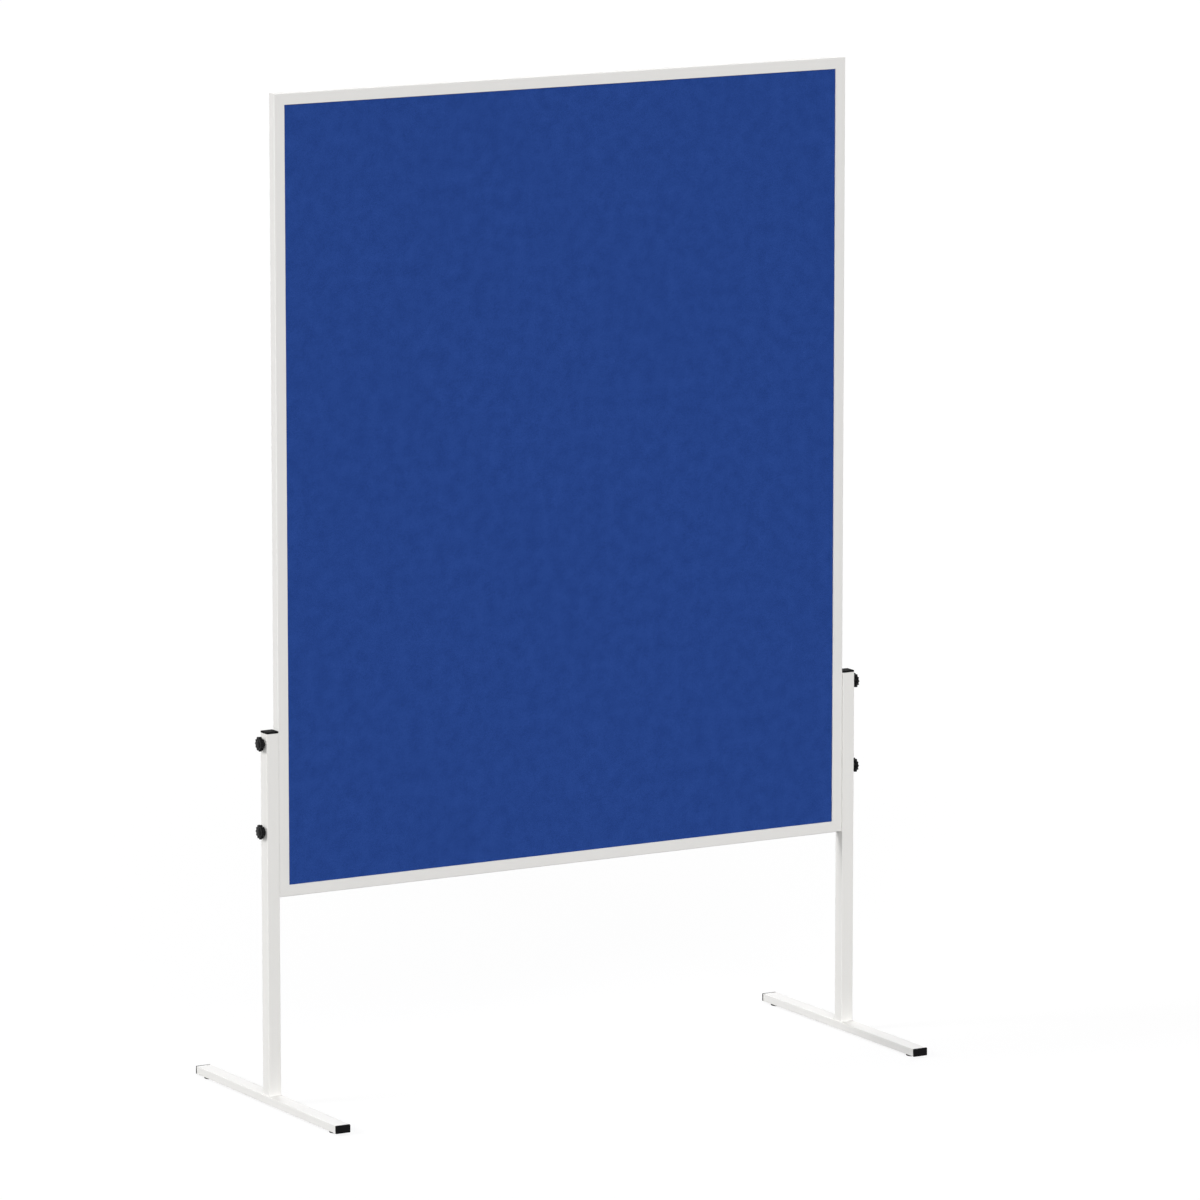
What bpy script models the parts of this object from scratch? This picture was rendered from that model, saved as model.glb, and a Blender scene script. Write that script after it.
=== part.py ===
"""A free-standing pinboard: a fabric-covered panel in a white frame, held between two T-feet by star knobs.

Metres, +Z up. The origin is on the floor under the middle of the board, the board's front faces -Y,
and each side piece is named left or right as seen from the front.
"""

import math

import bmesh
import bpy
from mathutils import Matrix, Vector
from mathutils.geometry import tessellate_polygon

MM = 0.001

# Board
board_width = 1225 * MM
board_height = 1500 * MM
board_depth = 20 * MM
board_clearance = 395 * MM

# Clearances
seat_gap = 0.3 * MM
key_gap = 0.5 * MM
cut_overrun = 2 * MM

# Frame profile, measured inwards from its outer edge
frame_face = 21.5 * MM
frame_wall = 1.8 * MM
frame_lip = 2.5 * MM
frame_edge_radius = 1.5 * MM
frame_lip_radius = 0.4 * MM
groove_depth = 8.9 * MM
chamber_radius = 1 * MM

# Corner keys, inside the frame's chamber
key_leg = 46 * MM
key_lead = 1.5 * MM
key_tooth = 0.8 * MM
key_tooth_pitch = 6 * MM
key_tooth_count = 4

# Panel
fabric_thickness = 1 * MM
fabric_rise = 0.3 * MM
fabric_ease = 3 * MM
panel_hold = 7.5 * MM

# Posts
post_side = 25 * MM
post_wall = 1.5 * MM
post_radius = 2 * MM
post_top = 710 * MM
weld_height = 2.6 * MM
weld_leg_across = 1.4 * MM
weld_leg_along = 2.6 * MM
weld_shares = ((1.0, 0.0), (0.62, 0.26), (0.26, 0.62), (0.0, 1.0))

# Feet
foot_width = 30 * MM
foot_height = 15 * MM
foot_wall = 1.5 * MM
foot_radius = 2 * MM
foot_length = 562 * MM

# Plugs in the ends of posts and feet
plug_flange = 3.5 * MM
plug_edge_radius = 0.5 * MM
plug_depth = 14 * MM
plug_wall = 1.6 * MM
plug_rib = 1 * MM
plug_rib_pitch = 4.5 * MM
plug_rib_count = 2

# Glides under the feet
glide_radius = 12 * MM
glide_height = 4 * MM
glide_edge_radius = 1 * MM
glide_inset = 31 * MM
glide_stem_radius = 3.6 * MM
glide_barb = 0.9 * MM
glide_barb_height = 3 * MM

# Clamp screws
screw_heights = (521 * MM, 687 * MM)
screw_radius = 3 * MM
screw_clearance = 0.5 * MM
screw_reach = 9.3 * MM
screw_point = 0.8 * MM
screw_seat = 7.2 * MM

# Washers under the knobs
washer_radius = 6.5 * MM
washer_thickness = 1.2 * MM
washer_clearance = 0.3 * MM

# Threaded inserts in the stiles
insert_wall = 1.1 * MM
insert_length = 8.6 * MM
insert_head_radius = 5.2 * MM
insert_head = 0.5 * MM
insert_bulge = 1.5 * MM
insert_bulge_length = 1.8 * MM

# Star knobs
knob_radius = 14 * MM
knob_lobe_count = 11
knob_flute = 2.8 * MM
knob_hub_radius = 9.7 * MM
knob_hub = 3.2 * MM
knob_rim = 6.5 * MM
knob_edge_radius = 1.2 * MM
knob_ring = 1.5 * MM
knob_groove = 0.7 * MM
knob_dome = 1 * MM

# Facets
corner_steps = 3
edge_steps = 6
plug_edge_steps = 2
turned_steps = 16
lobe_steps = 5

# Placed from the sizes above
board_top = board_clearance + board_height
board_edge = board_width / 2
half_depth = board_depth / 2
groove_floor = frame_face - groove_depth
chamber_floor = groove_floor - frame_wall
post_inner = board_edge + seat_gap
post_middle = post_inner + post_side / 2
post_outer = post_inner + post_side
foot_top = glide_height + foot_height
foot_end = foot_length / 2
tube_end = foot_end - plug_flange
screw_hole = screw_radius + screw_clearance
SIDES = (("left", -1), ("right", 1))
ENDS = (("front", -1), ("back", 1))


def material(name, color, roughness, metallic=0.0):
    """A Principled material, made once and shared by the pieces of one finish."""
    found = bpy.data.materials.get(name)
    if found:
        return found
    made = bpy.data.materials.new(name)
    made.use_nodes = True
    shader = made.node_tree.nodes["Principled BSDF"]
    shader.inputs["Base Color"].default_value = (*color, 1)
    shader.inputs["Roughness"].default_value = roughness
    shader.inputs["Metallic"].default_value = metallic
    return made


def white_coat():
    return material("white_coat", (0.80, 0.80, 0.78), 0.45)


def black_plastic():
    return material("black_plastic", (0.018, 0.018, 0.020), 0.5)


def blue_felt():
    return material("blue_felt", (0.018, 0.054, 0.240), 0.95)


def softboard():
    return material("softboard", (0.42, 0.31, 0.20), 0.95)


def zinc_steel():
    return material("zinc_steel", (0.62, 0.62, 0.63), 0.32, 1.0)


def cast_zinc():
    return material("cast_zinc", (0.48, 0.48, 0.50), 0.5, 1.0)


def node(name, bm, finish, place=(0, 0, 0), smooth_below=35):
    """The mesh as a named object at its place, with round stretches shaded smooth."""
    bmesh.ops.recalc_face_normals(bm, faces=bm.faces)
    mesh = bpy.data.meshes.new(name)
    bm.to_mesh(mesh)
    bm.free()
    mesh.shade_smooth()
    mesh.set_sharp_from_angle(angle=math.radians(smooth_below))
    mesh.materials.append(finish)
    made = bpy.data.objects.new(name, mesh)
    made.location = place
    bpy.context.collection.objects.link(made)
    return made


def cut(piece, cutters):
    """Booleans the cutters out of the piece, and leaves them as wire guides."""
    for cutter in cutters:
        cutter.hide_render = True
        cutter.display_type = "WIRE"
        modifier = piece.modifiers.new(cutter.name, "BOOLEAN")
        modifier.operation = "DIFFERENCE"
        modifier.solver = "EXACT"
        modifier.object = cutter
    shading = piece.modifiers.new("flat_faces", "WEIGHTED_NORMAL")
    shading.keep_sharp = True


def rounded(corners, steps):
    """The outline through (x, y, radius) corners, each rounded by an arc of its radius."""
    points = []
    for i, (x, y, radius) in enumerate(corners):
        here = Vector((x, y))
        if not radius:
            points.append(here)
            continue
        back = (Vector(corners[i - 1][:2]) - here).normalized()
        ahead = (Vector(corners[(i + 1) % len(corners)][:2]) - here).normalized()
        half = back.angle(ahead) / 2
        centre = here + (back + ahead).normalized() * radius / math.sin(half)
        start = here + back * radius / math.tan(half) - centre
        sweep = start.angle_signed(here + ahead * radius / math.tan(half) - centre)
        for k in range(steps + 1):
            spoke = start.copy()
            spoke.rotate(Matrix.Rotation(-sweep * k / steps, 2))
            points.append(centre + spoke)
    return points


def rectangle(half_x, half_y, radius, steps=corner_steps):
    radius = min(radius, half_x, half_y)
    signs = ((1, 1), (-1, 1), (-1, -1), (1, -1))
    return rounded([(sx * half_x, sy * half_y, radius) for sx, sy in signs], steps)


def prism(outlines, low, high):
    """Extrudes the first outline, with the others as holes. low and high place a point at each end."""
    bm = bmesh.new()
    ends = []
    for place in (low, high):
        ends.append([[bm.verts.new(place(point)) for point in outline] for outline in outlines])
    for below, above in zip(*ends):
        for i in range(len(below)):
            j = (i + 1) % len(below)
            bm.faces.new((below[i], below[j], above[j], above[i]))
    flat = [[point.to_3d() for point in outline] for outline in outlines]
    for loops in ends:
        joined = [vertex for loop in loops for vertex in loop]
        for corners in tessellate_polygon(flat):
            bm.faces.new([joined[k] for k in corners])
    return bm


def loft(rings, turn=None):
    """Joins rings of equal count. A one-point ring closes its end, or else the last meets the first."""
    turn = turn or Matrix.Identity(4)
    bm = bmesh.new()
    placed = [[bm.verts.new(turn @ Vector(point)) for point in ring] for ring in rings]
    pairs = list(zip(placed, placed[1:]))
    if len(placed[0]) > 1:
        pairs.append((placed[-1], placed[0]))
    for first, second in pairs:
        count = max(len(first), len(second))
        for i in range(count):
            j = (i + 1) % count
            if len(first) == 1:
                bm.faces.new((first[0], second[j], second[i]))
            elif len(second) == 1:
                bm.faces.new((first[i], first[j], second[0]))
            else:
                bm.faces.new((first[i], first[j], second[j], second[i]))
    return bm


def circle(radius, z, steps=turned_steps):
    if not radius:
        return [(0, 0, z)]
    turns = [2 * math.pi * (k + 0.5) / steps for k in range(steps)]
    return [(radius * math.cos(a), radius * math.sin(a), z) for a in turns]


def turned(profile, turn=None, steps=turned_steps):
    """Turns (radius, z) points about Z, then applies the turn."""
    return loft([circle(radius, z, steps) for radius, z in profile], turn)


def outwards(side):
    """Turns +Z to the board's outside: -X on the left, +X on the right."""
    return Matrix.Rotation(side * math.pi / 2, 4, "Y")


def cutter_along(name, axis, radius, start, end):
    """A cylinder from start to end along the named axis, for a hole."""
    middle = (Vector(start) + Vector(end)) / 2
    reach = (Vector(end) - Vector(start)).length / 2
    turn = Matrix.Rotation(math.pi / 2, 4, "Y") if axis == "X" else None
    profile = ((0, -reach), (radius, -reach), (radius, reach), (0, reach))
    return node(name, turned(profile, turn), zinc_steel(), middle)


def frame_section():
    """The profile's outline and its chamber, as (distance inwards, place through the depth)."""
    lip_floor = half_depth - frame_lip
    outline = rounded(
        (
            (0, half_depth, frame_edge_radius),
            (0, -half_depth, frame_edge_radius),
            (frame_face, -half_depth, frame_lip_radius),
            (frame_face, -lip_floor, frame_lip_radius),
            (groove_floor, -lip_floor, 0),
            (groove_floor, lip_floor, 0),
            (frame_face, lip_floor, frame_lip_radius),
            (frame_face, half_depth, frame_lip_radius),
        ),
        edge_steps,
    )
    inner_depth = half_depth - frame_wall
    chamber = rounded(
        (
            (frame_wall, inner_depth, chamber_radius),
            (frame_wall, -inner_depth, chamber_radius),
            (chamber_floor, -inner_depth, chamber_radius),
            (chamber_floor, inner_depth, chamber_radius),
        ),
        corner_steps,
    )
    return outline, chamber


def frame_member(name, middle, inwards, along, length):
    """One side of the frame, mitred at both ends, with its origin at the middle of its outer edge."""
    mitre = seat_gap / math.sqrt(2)
    depth = Vector((0, 1, 0))

    def end(sign):
        def place(point):
            reach = length / 2 - point.x - mitre
            return inwards * point.x + depth * point.y + along * sign * reach

        return place

    return node(name, prism(frame_section(), end(-1), end(1)), white_coat(), middle)


def stile(label, side):
    """A stile with a stepped hole at each screw, sunk for the insert's head."""
    middle = Vector((side * board_edge, 0, board_clearance + board_height / 2))
    made = frame_member("stile_" + label, middle, Vector((-side, 0, 0)), Vector((0, 0, 1)), board_height)
    body_hole = screw_radius + washer_clearance + insert_wall + seat_gap
    head_hole = insert_head_radius + seat_gap
    head_seat = -insert_head - seat_gap
    end = -frame_wall - cut_overrun
    profile = (
        (0, cut_overrun),
        (head_hole, cut_overrun),
        (head_hole, head_seat),
        (body_hole, head_seat),
        (body_hole, end),
        (0, end),
    )
    cutters = []
    for k, height in enumerate(screw_heights):
        hole = turned(profile, outwards(side))
        cutters.append(node(f"cut_insert_{label}_{k}", hole, zinc_steel(), (side * board_edge, 0, height)))
    cut(made, cutters)


def rails():
    along = Vector((1, 0, 0))
    for name, height, up in (("rail_top", board_top, -1), ("rail_bottom", board_clearance, 1)):
        frame_member(name, Vector((0, 0, height)), Vector((0, 0, up)), along, board_width)


def corner_key(name, side, level):
    """An L-shaped key whose toothed legs sit in the chambers of a stile and a rail."""
    outer = frame_wall + key_gap
    inner = chamber_floor - key_gap
    tooth_start = inner + key_tooth_pitch
    leg = [(key_leg - key_lead, outer), (key_leg, outer + key_lead)]
    leg += [(key_leg, inner - key_lead), (key_leg - key_lead, inner)]
    for k in reversed(range(key_tooth_count)):
        reach = tooth_start + k * key_tooth_pitch
        leg += [(reach + key_tooth, inner), (reach, inner - key_tooth), (reach - key_tooth, inner)]
    mirrored = [(y, x) for x, y in reversed(leg)]
    outline = [Vector(point) for point in [(outer, outer), *leg, (inner, inner), *mirrored]]
    reach = half_depth - frame_wall - key_gap
    up = 1 if level == board_clearance else -1

    def end(sign):
        return lambda point: (-side * point.x, sign * reach, up * point.y)

    return node(name, prism([outline], end(-1), end(1)), cast_zinc(), (side * board_edge, 0, level))


def panel():
    """The softboard in the frame's groove, with fabric on each face that the frame's lips press thinner."""
    pressed = half_depth - frame_lip - seat_gap
    inside = pressed - fabric_thickness
    core = inside - seat_gap
    middle = (0, 0, board_clearance + board_height / 2)

    def ring(edge, depth):
        half_width, half_height = board_edge - edge, board_height / 2 - edge
        return [(p.x, depth, p.y) for p in rectangle(half_width, half_height, 0)]

    edge = frame_face - panel_hold
    board = [[(0, -core, 0)], ring(edge, -core), ring(edge, core), [(0, core, 0)]]
    node("panel_core", loft(board), softboard(), middle)
    for end, sign in ENDS:
        field = sign * (pressed + fabric_rise)
        rings = [
            [(0, sign * inside, 0)],
            ring(edge, sign * inside),
            ring(edge, sign * pressed),
            ring(frame_face, sign * pressed),
            ring(frame_face + fabric_ease, field),
            [(0, field, 0)],
        ]
        node("fabric_" + end, loft(rings), blue_felt(), middle)


def tube_rings(stations, wall):
    """Rings of a rounded tube, out along its (z, half x, half y, radius) stations and back in its bore."""
    rings = [[(p.x, p.y, z) for p in rectangle(x, y, radius)] for z, x, y, radius in stations]
    last, first = stations[-1], stations[0]
    bore_x, bore_y, bore_radius = last[1] - wall, last[2] - wall, last[3] - wall
    for z in (last[0], first[0]):
        rings.append([(p.x, p.y, z) for p in rectangle(bore_x, bore_y, bore_radius)])
    return rings


def post(label, side):
    """A square tube that stands on its foot in a fillet weld, with the screws' holes through two walls."""
    half = post_side / 2
    base = foot_top + seat_gap
    top = post_top - plug_flange - seat_gap
    stations = []
    for out_share, up_share in weld_shares:
        across, along = half + out_share * weld_leg_across, half + out_share * weld_leg_along
        corner = post_radius + out_share * weld_leg_across
        stations.append((base + up_share * weld_height, across, along, corner))
    stations.append((top, half, half, post_radius))
    place = (side * post_middle, 0, 0)
    made = node("post_" + label, loft(tube_rings(stations, post_wall)), white_coat(), place)
    cutters = []
    for k, height in enumerate(screw_heights):
        start = (side * (post_inner - cut_overrun), 0, height)
        end = (side * (post_outer + cut_overrun), 0, height)
        cutters.append(cutter_along(f"cut_screw_{label}_{k}", "X", screw_hole, start, end))
    cut(made, cutters)


def foot(label, side):
    """A flat tube along Y, with a hole in its underside for each glide."""
    x, y = foot_width / 2, foot_height / 2
    middle = glide_height + y
    reach = tube_end - seat_gap
    stations = [(z, x, y, foot_radius) for z in (-reach, reach)]
    laid = Matrix.Rotation(-math.pi / 2, 4, "X")
    tube = loft(tube_rings(stations, foot_wall), laid)
    made = node("foot_" + label, tube, white_coat(), (side * post_middle, 0, middle))
    hole = glide_stem_radius + seat_gap
    cutters = []
    for end, sign in ENDS:
        along = sign * (foot_end - glide_inset)
        start = (side * post_middle, along, glide_height - cut_overrun)
        stop = (side * post_middle, along, glide_height + foot_wall + cut_overrun)
        cutters.append(cutter_along(f"cut_glide_{label}_{end}", "Z", hole, start, stop))
    cut(made, cutters)


def plug_rings(half_x, half_y, radius, wall):
    """A plug with its flange above z 0 and a ribbed, hollow skirt below, inside a tube's wall."""
    rib_x, rib_y = half_x - wall - seat_gap, half_y - wall - seat_gap
    skirt_x, skirt_y = rib_x - plug_rib, rib_y - plug_rib
    bore_x, bore_y = skirt_x - plug_wall, skirt_y - plug_wall
    inner_radius = max(radius - wall, seat_gap)

    def ring(z, x, y, corner):
        return [(p.x, p.y, z) for p in rectangle(x, y, corner)]

    rings = [[(0, 0, plug_flange)]]
    for k in range(plug_edge_steps + 1):
        turn = math.pi / 2 * k / plug_edge_steps
        inset = plug_edge_radius * (1 - math.sin(turn))
        z = plug_flange - plug_edge_radius * (1 - math.cos(turn))
        rings.append(ring(z, half_x - inset, half_y - inset, radius))
    rings.append(ring(0, half_x, half_y, radius))
    rings.append(ring(0, skirt_x, skirt_y, inner_radius))
    for k in range(plug_rib_count):
        z = -plug_rib_pitch * (k + 0.5)
        rings.append(ring(z, rib_x, rib_y, inner_radius))
        rings.append(ring(z - plug_rib_pitch / 2, skirt_x, skirt_y, inner_radius))
    rings.append(ring(-plug_depth, skirt_x - plug_wall / 2, skirt_y - plug_wall / 2, inner_radius))
    rings.append(ring(-plug_depth, bore_x, bore_y, inner_radius))
    rings.append(ring(-plug_wall, bore_x, bore_y, inner_radius))
    rings.append([(0, 0, -plug_wall)])
    return rings


def post_cap(label, side):
    half = post_side / 2
    rings = plug_rings(half, half, post_radius, post_wall)
    place = (side * post_middle, 0, post_top - plug_flange)
    node("post_cap_" + label, loft(rings), black_plastic(), place)


def foot_plugs(label, side):
    for end, sign in ENDS:
        rings = plug_rings(foot_width / 2, foot_height / 2, foot_radius, foot_wall)
        turn = Matrix.Rotation(-sign * math.pi / 2, 4, "X")
        place = (side * post_middle, sign * tube_end, glide_height + foot_height / 2)
        node(f"foot_plug_{label}_{end}", loft(rings, turn), black_plastic(), place)


def glides(label, side):
    """Round pads with a barbed stem that snaps into the underside of the foot."""
    top = glide_height - seat_gap
    catch = glide_height + foot_wall + seat_gap
    barb = glide_stem_radius + glide_barb
    profile = (
        (0, 0),
        (glide_radius - glide_edge_radius, 0),
        (glide_radius, glide_edge_radius),
        (glide_radius, top - glide_edge_radius / 2),
        (glide_radius - glide_edge_radius / 2, top),
        (glide_stem_radius, top),
        (glide_stem_radius, catch),
        (barb, catch),
        (barb, catch + glide_barb),
        (glide_stem_radius - glide_barb, catch + glide_barb_height),
        (0, catch + glide_barb_height),
    )
    for end, sign in ENDS:
        place = (side * post_middle, sign * (foot_end - glide_inset), 0)
        node(f"glide_{label}_{end}", turned(profile), black_plastic(), place)


def insert(name, side, height):
    """A rivet nut in the stile: its head is sunk in the wall and its bulge grips behind it."""
    bore = screw_radius + washer_clearance
    body = bore + insert_wall
    bulge_start = -frame_wall - seat_gap
    bulge_end = bulge_start - insert_bulge_length
    profile = (
        (bore, 0),
        (insert_head_radius, 0),
        (insert_head_radius, -insert_head),
        (body, -insert_head),
        (body, bulge_start),
        (body + insert_bulge, bulge_start),
        (body + insert_bulge, bulge_end),
        (body, bulge_end - insert_bulge),
        (body, -insert_length),
        (bore, -insert_length),
    )
    node(name, turned(profile, outwards(side)), zinc_steel(), (side * board_edge, 0, height))


def washer(name, side, height):
    bore = screw_radius + washer_clearance
    base = seat_gap
    top = base + washer_thickness
    profile = ((bore, base), (washer_radius, base), (washer_radius, top), (bore, top))
    node(name, turned(profile, outwards(side)), zinc_steel(), (side * post_outer, 0, height))


def knob_base():
    return seat_gap + washer_thickness + seat_gap


def stud(name, side, height):
    """The knob's threaded stud, from its seat in the knob through the post to the insert."""
    tip = -(post_side + seat_gap + screw_reach)
    end = knob_base() + screw_seat
    profile = (
        (0, tip),
        (screw_radius - screw_point, tip),
        (screw_radius, tip + screw_point),
        (screw_radius, end),
        (0, end),
    )
    node(name, turned(profile, outwards(side)), zinc_steel(), (side * post_outer, 0, height))


def knob(name, side, height):
    """A star knob: a hub, a rim of points between round flutes, and a domed face set in a groove."""
    base = knob_base()
    bore = screw_radius + seat_gap
    seat = base + screw_seat + seat_gap
    rim = base + knob_hub
    face = rim + knob_rim
    ring_inside = knob_radius - knob_flute - knob_edge_radius - knob_ring
    soft = knob_edge_radius * (1 - math.sqrt(0.5))

    def ring(radius, z, flute_share=0):
        """One point lies level with the axis: at the back on the left side, at the front on the right."""
        count = knob_lobe_count * lobe_steps
        points = []
        for k in range(count):
            along = math.pi * k / lobe_steps
            turn = 2 * math.pi * k / count - side * math.pi / 2
            reach = radius - flute_share * knob_flute * abs(math.sin(along))
            points.append((reach * math.cos(turn), reach * math.sin(turn), z))
        return points

    rings = [
        [(0, 0, seat)],
        ring(bore, seat),
        ring(bore, base),
        ring(knob_hub_radius, base),
        ring(knob_hub_radius, rim),
        ring(knob_radius - knob_edge_radius, rim, 1),
        ring(knob_radius, rim + knob_edge_radius, 1),
        ring(knob_radius, face - knob_edge_radius, 1),
        ring(knob_radius - soft, face - soft, 1),
        ring(knob_radius - knob_edge_radius, face, 1),
        ring(ring_inside, face),
        ring(ring_inside - knob_groove, face - knob_groove),
    ]
    dome_radius = ring_inside - knob_groove
    for k in range(1, corner_steps):
        turn = math.pi / 2 * k / corner_steps
        rise = (knob_dome + knob_groove) * math.sin(turn)
        rings.append(ring(dome_radius * math.cos(turn), face - knob_groove + rise))
    rings.append([(0, 0, face + knob_dome)])
    node(name, loft(rings, outwards(side)), black_plastic(), (side * post_outer, 0, height))


def clamp_screws(label, side):
    for level, height in zip(("lower", "upper"), screw_heights):
        insert(f"insert_{label}_{level}", side, height)
        washer(f"washer_{label}_{level}", side, height)
        stud(f"stud_{label}_{level}", side, height)
        knob(f"knob_{label}_{level}", side, height)


def build():
    for old in list(bpy.data.objects):
        bpy.data.objects.remove(old)
    rails()
    panel()
    for label, side in SIDES:
        stile(label, side)
        corner_key(f"corner_key_{label}_top", side, board_top)
        corner_key(f"corner_key_{label}_bottom", side, board_clearance)
        post(label, side)
        post_cap(label, side)
        foot(label, side)
        foot_plugs(label, side)
        glides(label, side)
        clamp_screws(label, side)


build()
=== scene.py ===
"""The finished pinboard: detailed pieces and finishes round the fixed frame, a floor, lights and a camera.

Metres, +Z up. The board's front faces -Y, and left and right are as seen from the front.
"""

import math

import bmesh
import bpy
from mathutils import Matrix, Vector


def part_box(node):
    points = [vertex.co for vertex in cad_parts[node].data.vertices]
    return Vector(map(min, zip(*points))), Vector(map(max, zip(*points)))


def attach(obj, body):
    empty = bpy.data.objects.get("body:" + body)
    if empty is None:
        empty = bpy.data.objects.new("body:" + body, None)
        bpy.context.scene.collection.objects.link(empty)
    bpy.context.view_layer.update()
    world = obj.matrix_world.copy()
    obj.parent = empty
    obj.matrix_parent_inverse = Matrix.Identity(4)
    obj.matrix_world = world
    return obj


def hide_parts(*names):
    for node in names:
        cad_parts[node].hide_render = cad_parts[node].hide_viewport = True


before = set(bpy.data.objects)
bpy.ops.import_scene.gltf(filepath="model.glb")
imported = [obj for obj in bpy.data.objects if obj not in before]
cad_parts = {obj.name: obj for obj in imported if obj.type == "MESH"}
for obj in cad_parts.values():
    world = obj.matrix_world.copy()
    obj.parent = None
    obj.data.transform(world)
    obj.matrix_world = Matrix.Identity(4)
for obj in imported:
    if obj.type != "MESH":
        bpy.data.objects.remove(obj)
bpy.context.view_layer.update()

MM = 0.001
BOARD = "board_and_feet"
SIDES = (("left", -1), ("right", 1))
ENDS = (("front", -1), ("back", 1))
LEVELS = ("lower", "upper")

# Frame profile
profile_wall = 1.8 * MM
profile_lip = 2.5 * MM
profile_edge_radius = 1.5 * MM
profile_lip_radius = 0.4 * MM
profile_groove = 8.9 * MM
profile_chamber_radius = 1 * MM
mitre_gap = 0.02 * MM
mitre_arris = 0.06 * MM
cut_arris = 0.2 * MM
cut_overrun = 2 * MM
insert_sink = 0.8 * MM
clamped_gap = 0.02 * MM
insert_clearance = 0.3 * MM
insert_body_radius = 4.4 * MM

# Tubes and welds
tube_wall = 1.5 * MM
tube_radius = 1 * MM
least_radius = 0.05 * MM
screw_hole_radius = 3.5 * MM
glide_hole_radius = 3.9 * MM
weld_leg_across = 1.4 * MM
weld_leg_up = 2.6 * MM
weld_ripple = 0.12 * MM
weld_ripple_pitch = 1.7 * MM
weld_seat = 0.04 * MM
weld_sink = 0.1 * MM
weld_root = 0.3 * MM

# Plugs
plug_flange = 3.5 * MM
plug_edge_radius = 0.5 * MM
plug_crown = 0.15 * MM
plug_gap = 0.3 * MM
plug_wall = 1.6 * MM
plug_rib = 1 * MM
plug_rib_count = 3
plug_seam = 0.12 * MM
plug_arris = 0.15 * MM

# Glides
glide_gap = 0.05 * MM
glide_edge_radius = 1 * MM
glide_dish = 0.35 * MM
glide_stem_radius = 3.6 * MM
glide_barb = 0.9 * MM

# Knobs, studs, washers and inserts
knob_radius = 14 * MM
knob_lobe_count = 11
knob_flute = 2.8 * MM
knob_lobe_tip = 0.12
knob_hub_radius = 9.7 * MM
knob_hub = 3.2 * MM
knob_edge_radius = 1.2 * MM
knob_ring = 1.5 * MM
knob_groove = 0.7 * MM
knob_dome = 1 * MM
knob_dome_power = 0.8
knob_bore_radius = 3.3 * MM
knob_seat = 7.5 * MM
knob_hub_chamfer = 0.4 * MM
knob_hub_fillet = 0.2 * MM
knob_ring_lip = 0.25 * MM
knob_ring_run = 0.8 * MM
knob_ring_dip = 0.02 * MM
thread_pitch = 1 * MM
thread_depth = 0.58 * MM
washer_bore_radius = 3.3 * MM
washer_arris = 0.18 * MM
insert_head = 0.5 * MM
insert_bulge = 1.5 * MM
insert_bulge_length = 1.8 * MM
insert_knurl = 0.15 * MM
insert_knurl_count = 26

# Felt
felt_ease = 4 * MM
felt_press = 0.3 * MM
felt_wave = 0.07 * MM
felt_cell = 16 * MM
felt_margin_steps = 5
# How fast each of the felt's waves turns along X and along Z, in radians a metre
felt_wave_turns = ((9.1, 2.2), (-1.7, 7.3), (23, 17))

# Floor
floor_half_size = 400

# Camera, fitted to the photograph's edges
camera_lens_mm = 253.45
camera_sensor_mm = 36
camera_yaw = math.radians(29.944)
camera_pitch = math.radians(10.017)
camera_distance = 15.952
camera_target = Vector((0.0806, 0, 0.8937))


def add(tree, kind, inputs=None, **settings):
    """A shader node with its settings, and with its sockets linked or set."""
    made = tree.nodes.new("ShaderNode" + kind)
    for key, value in settings.items():
        setattr(made, key, value)
    for socket, value in (inputs or {}).items():
        if isinstance(value, bpy.types.NodeSocket):
            tree.links.new(value, made.inputs[socket])
        else:
            made.inputs[socket].default_value = value
    return made


def grain(tree, size_mm, detail=2.0, stretch=(1, 1, 1), turn=(0, 0, 0), warp=0.0):
    """Noise whose features measure about size_mm in the piece's own space."""
    place = add(tree, "TexCoord").outputs["Object"]
    rotated = add(tree, "Mapping", {"Vector": place, "Rotation": turn}).outputs[0]
    scale = [share / (size_mm * MM) for share in stretch]
    mapped = add(tree, "Mapping", {"Vector": rotated, "Scale": scale}).outputs[0]
    settings = {"Vector": mapped, "Scale": 1.0, "Detail": detail, "Distortion": warp}
    return add(tree, "TexNoise", settings).outputs[0]


def spread(tree, value, low, high, start=0.3, end=0.7):
    """The value, stretched from start to end onto low to high."""
    settings = {"Value": value, "From Min": start, "From Max": end, "To Min": low, "To Max": high}
    return add(tree, "MapRange", settings).outputs[0]


def sums(tree, operation, first, second):
    return add(tree, "Math", {0: first, 1: second}, operation=operation).outputs[0]


def ramp(tree, value, stops):
    """The colour at the value along (place, colour) stops."""
    made = add(tree, "ValToRGB", {"Fac": value})
    elements = made.color_ramp.elements
    while len(elements) < len(stops):
        elements.new(1.0)
    for element, (place, color) in zip(elements, stops):
        element.position = place
        element.color = (*color, 1)
    return made.outputs[0]


def blended(tree, share, first, second):
    """The first colour going over to the second by the share."""
    made = add(tree, "Mix", data_type="RGBA")
    for socket, value in ((0, share), (6, first), (7, second)):
        if isinstance(value, bpy.types.NodeSocket):
            tree.links.new(value, made.inputs[socket])
        else:
            made.inputs[socket].default_value = (*value, 1)
    return made.outputs[2]


def edge_share(tree, radius):
    """0 on open stretches, rising to 1 along edges of about that radius."""
    soft = add(tree, "Bevel", {"Radius": radius}, samples=4).outputs[0]
    plain = add(tree, "NewGeometry").outputs["Normal"]
    facing = add(tree, "VectorMath", {0: soft, 1: plain}, operation="DOT_PRODUCT").outputs["Value"]
    return spread(tree, facing, 1.0, 0.0, 0.80, 0.995)


def relief(tree, heights, distance, strength=1.0):
    """A bump from the heights, over the distance in metres."""
    settings = {"Height": heights, "Distance": distance, "Strength": strength}
    return add(tree, "Bump", settings).outputs[0]


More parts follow.
